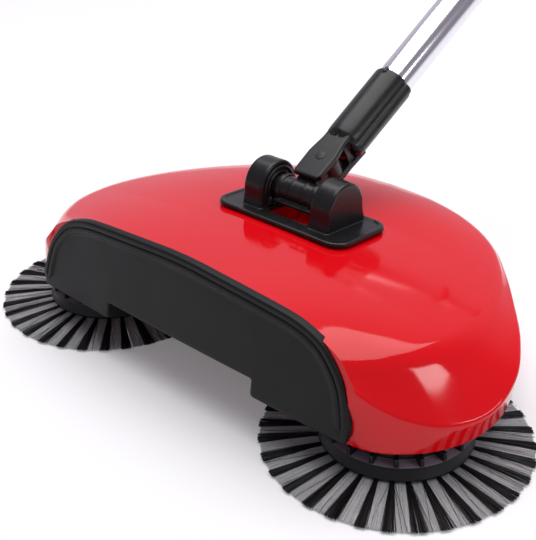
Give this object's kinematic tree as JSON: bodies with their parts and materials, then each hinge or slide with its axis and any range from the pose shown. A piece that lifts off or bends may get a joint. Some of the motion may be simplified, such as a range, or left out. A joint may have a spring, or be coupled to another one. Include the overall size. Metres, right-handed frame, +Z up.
{
  "type": "carpet sweeper",
  "caption": "Push floor sweeper with a low glossy hood over two flat round brushes, a wheel-driven axle, a pull-out dust bin and a long handle on a swivel knuckle.",
  "frame": {"origin": "on the floor, at the middle of the floor lip's lower edge, between the brushes and the dust bin", "axes": "+Z up, -Y towards the black front panel (the way it is pushed), +X towards the right-hand brush; the handle leans back along +Y"},
  "size_m": [0.4094, 0.9647, 0.5477],
  "materials": {
    "hood_red": "gloss",
    "chassis_red": "satin",
    "panel_black": "satin",
    "fitting_black": "satin",
    "grip_black": "matte",
    "bush_white": "satin",
    "bin_grey": "satin",
    "bristle_grey": "fine bristle",
    "tyre_rubber": "matte",
    "lip_rubber": "matte",
    "steel": "bright",
    "tube_bright": "polished"
  },
  "bodies": {
    "body": {"top_shell": "hood_red", "front_panel": "panel_black", "chassis": "chassis_red", "right_axle_bush": "bush_white", "left_axle_bush": "bush_white", "right_brush_post": "steel", "left_brush_post": "steel", "right_brush_screw": "steel", "left_brush_screw": "steel", "right_rear_pin": "steel", "left_rear_pin": "steel", "base_plate": "fitting_black", "plate_screw_1": "steel", "plate_screw_2": "steel", "plate_screw_3": "steel", "plate_screw_4": "steel", "pivot_pin": "steel"},
    "axle": {"drive_axle": "steel", "right_wheel_hub": "fitting_black", "left_wheel_hub": "fitting_black", "right_tyre": "tyre_rubber", "left_tyre": "tyre_rubber", "right_pinion": "bush_white", "left_pinion": "bush_white"},
    "right_brush": {"right_brush_hub": "fitting_black", "right_bristles": "bristle_grey"},
    "left_brush": {"left_brush_hub": "fitting_black", "left_bristles": "bristle_grey"},
    "dust_bin": {"bin_tray": "bin_grey", "bin_pull": "fitting_black", "floor_lip": "lip_rubber"},
    "right_roller": {"right_rear_wheel": "tyre_rubber"},
    "left_roller": {"left_rear_wheel": "tyre_rubber"},
    "pivot_bar": {"pivot_barrel": "fitting_black"},
    "handle": {"knuckle": "fitting_black", "swing_pin": "steel", "lower_tube": "tube_bright", "middle_tube": "tube_bright", "upper_tube": "tube_bright", "lower_joiner": "fitting_black", "middle_joiner": "fitting_black", "grip": "grip_black"}
  },
  "joints": [
    {"name": "axle_spin", "type": "hinge", "parent": "body", "child": "axle", "pos_m": [0, -0.06, 0.031], "axis": [1, 0, 0], "continuous": true},
    {"name": "right_brush_spin", "type": "hinge", "parent": "body", "child": "right_brush", "pos_m": [0.125, -0.06, 0.01], "axis": [0, 0, 1], "continuous": true},
    {"name": "left_brush_spin", "type": "hinge", "parent": "body", "child": "left_brush", "pos_m": [-0.125, -0.06, 0.01], "axis": [0, 0, 1], "continuous": true},
    {"name": "right_roller_spin", "type": "hinge", "parent": "body", "child": "right_roller", "pos_m": [0.08, 0.074, 0.011], "axis": [1, 0, 0], "continuous": true},
    {"name": "left_roller_spin", "type": "hinge", "parent": "body", "child": "left_roller", "pos_m": [-0.08, 0.074, 0.011], "axis": [1, 0, 0], "continuous": true},
    {"name": "bin_slide", "type": "slide", "parent": "body", "child": "dust_bin", "axis": [0, 1, 0], "range_m": [0, 0.15]},
    {"name": "handle_tilt", "type": "hinge", "parent": "body", "child": "pivot_bar", "pos_m": [0, 0.002, 0.094], "axis": [1, 0, 0], "range_deg": [-14, 61]},
    {"name": "handle_swing", "type": "hinge", "parent": "pivot_bar", "child": "handle", "pos_m": [0, 0.02441, 0.10597], "axis": [0, -0.4772, 0.8788], "range_deg": [-35, 35]}
  ],
  "couplings": [
    {"joint": "right_brush_spin", "follows": "axle_spin", "ratio": -0.35},
    {"joint": "left_brush_spin", "follows": "axle_spin", "ratio": 0.35}
  ]
}
